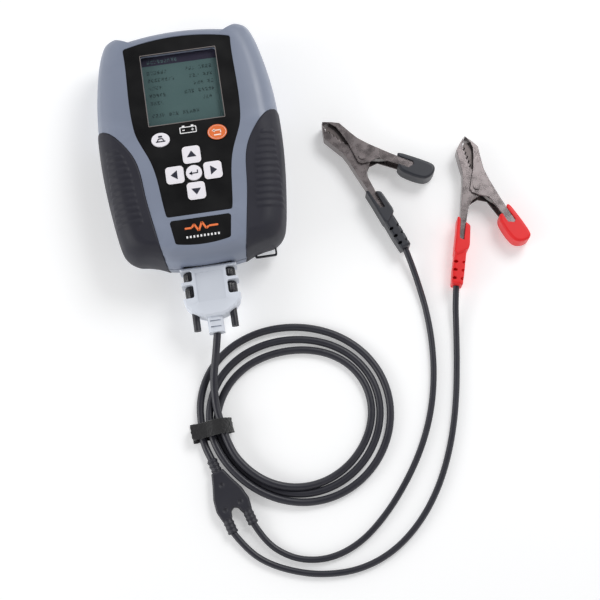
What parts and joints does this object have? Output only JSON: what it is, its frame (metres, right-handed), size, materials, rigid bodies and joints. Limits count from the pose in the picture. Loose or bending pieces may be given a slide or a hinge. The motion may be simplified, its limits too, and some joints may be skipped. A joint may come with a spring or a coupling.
{
  "type": "battery tester",
  "caption": "Handheld battery tester with rubber side grips, keypad and display, lying flat with a coiled test cable plugged in that splits into a black and a red spring clip",
  "frame": {"origin": "bottom centre of the tester's housing, on the surface it lies on", "axes": "+X to the right of the keypad, +Y from the cable end to the display end, +Z out of the display"},
  "size_m": [0.279, 0.3762, 0.0454],
  "materials": {
    "shell_grey": "fine-textured moulded plastic",
    "grip_rubber": "soft matt overmould with cross ribs",
    "seal_rubber": "matt elastomer",
    "overlay_black": "satin printed film",
    "window_clear": "clear lens over a grey-green display",
    "display": "liquid crystal module",
    "board_green": "solder-masked board",
    "chip_black": "moulded packages",
    "resistor_metal": "finned heat sink",
    "buzzer_black": "moulded case",
    "keypad_silicone": "translucent silicone",
    "contact_gold": "gold-flashed contacts",
    "key_white": "hard white key cap",
    "key_orange": "hard orange key cap",
    "connector_steel": "nickel-plated pressed shell",
    "insulator_black": "glass-filled insert",
    "hood_plastic": "pale grey moulded hood",
    "jackscrew_black": "black moulded grip on a steel thread",
    "screw_steel": "zinc-plated screws",
    "foot_rubber": "matt rubber feet",
    "loop_metal": "dark strap loop",
    "cable_black": "smooth black jacket",
    "tie_fabric": "black hook-and-loop strap",
    "splitter_black": "overmoulded splitter",
    "clip_nickel": "brownish nickel-plated pressed steel",
    "contact_copper": "toothed contact insert",
    "spring_steel": "spring steel",
    "sleeve_black": "black vinyl boot",
    "sleeve_red": "red vinyl boot"
  },
  "bodies": {
    "tester": {"front_shell": "shell_grey", "rear_shell": "shell_grey", "left_grip": "grip_rubber", "right_grip": "grip_rubber", "shell_seal": "seal_rubber", "overlay_panel": "overlay_black", "display_window": "window_clear", "name_plate": "overlay_black", "display_module": "display", "main_board": "board_green", "board_chips": "chip_black", "power_board": "board_green", "load_resistor": "resistor_metal", "buzzer": "buzzer_black", "keypad_mat": "keypad_silicone", "key_contacts": "contact_gold", "socket_shell": "connector_steel", "socket_insert": "insulator_black", "socket_contacts": "contact_gold", "socket_standoffs": "connector_steel", "case_screws": "screw_steel", "board_screws": "screw_steel", "rear_feet": "foot_rubber", "strap_loop": "loop_metal", "plug_shell": "connector_steel", "plug_insert": "insulator_black", "plug_contacts": "contact_gold", "hood_top": "hood_plastic", "hood_bottom": "hood_plastic", "cable_clamp": "insulator_black", "neck_boot": "hood_plastic", "main_cable": "cable_black", "cable_coil": "cable_black", "coil_tie": "tie_fabric", "splitter": "splitter_black", "black_lead": "cable_black", "red_lead": "cable_black", "black_fixed_jaw": "clip_nickel", "black_rivet": "clip_nickel", "black_spring": "spring_steel", "black_boot": "sleeve_black", "red_fixed_jaw": "clip_nickel", "red_rivet": "clip_nickel", "red_spring": "spring_steel", "red_boot": "sleeve_red"},
    "up_button": {"up_key": "key_white"},
    "left_button": {"left_key": "key_white"},
    "down_button": {"down_key": "key_white"},
    "right_button": {"right_key": "key_white"},
    "enter_button": {"enter_key": "key_white"},
    "menu_button": {"menu_key": "key_white"},
    "escape_button": {"escape_key": "key_orange"},
    "left_screw": {"left_jackscrew": "jackscrew_black"},
    "right_screw": {"right_jackscrew": "jackscrew_black"},
    "black_lever": {"black_moving_jaw": "clip_nickel", "black_contact": "contact_copper", "black_sleeve": "sleeve_black"},
    "red_lever": {"red_moving_jaw": "clip_nickel", "red_contact": "contact_copper", "red_sleeve": "sleeve_red"}
  },
  "joints": [
    {"name": "up_press", "type": "slide", "parent": "tester", "child": "up_button", "axis": [0, 0, -1], "range_m": [0, 0.0008], "stiffness_N_per_m": 600, "springref_m": -0.001},
    {"name": "left_press", "type": "slide", "parent": "tester", "child": "left_button", "axis": [0, 0, -1], "range_m": [0, 0.0008], "stiffness_N_per_m": 600, "springref_m": -0.001},
    {"name": "down_press", "type": "slide", "parent": "tester", "child": "down_button", "axis": [0, 0, -1], "range_m": [0, 0.0008], "stiffness_N_per_m": 600, "springref_m": -0.001},
    {"name": "right_press", "type": "slide", "parent": "tester", "child": "right_button", "axis": [0, 0, -1], "range_m": [0, 0.0008], "stiffness_N_per_m": 600, "springref_m": -0.001},
    {"name": "enter_press", "type": "slide", "parent": "tester", "child": "enter_button", "axis": [0, 0, -1], "range_m": [0, 0.0008], "stiffness_N_per_m": 600, "springref_m": -0.001},
    {"name": "menu_press", "type": "slide", "parent": "tester", "child": "menu_button", "axis": [0, 0, -1], "range_m": [0, 0.0008], "stiffness_N_per_m": 600, "springref_m": -0.001},
    {"name": "escape_press", "type": "slide", "parent": "tester", "child": "escape_button", "axis": [0, 0, -1], "range_m": [0, 0.0008], "stiffness_N_per_m": 600, "springref_m": -0.001},
    {"name": "left_jackscrew_turn", "type": "hinge", "parent": "tester", "child": "left_screw", "pos_m": [-0.01249, -0.1, 0.019], "axis": [0, 1, 0], "continuous": true},
    {"name": "right_jackscrew_turn", "type": "hinge", "parent": "tester", "child": "right_screw", "pos_m": [0.01249, -0.1, 0.019], "axis": [0, 1, 0], "continuous": true},
    {"name": "black_clip_open", "type": "hinge", "parent": "tester", "child": "black_lever", "pos_m": [0.1145, -0.018, 0.0072], "axis": [0, 0, -1], "range_deg": [0, 32], "stiffness_Nm_per_rad": 0.6, "springref_deg": -20.05, "deforming": ["black_spring"]},
    {"name": "red_clip_open", "type": "hinge", "parent": "tester", "child": "red_lever", "pos_m": [0.188, -0.051, 0.0072], "axis": [0, 0, -1], "range_deg": [0, 32], "stiffness_Nm_per_rad": 0.6, "springref_deg": -20.05, "deforming": ["red_spring"]}
  ]
}
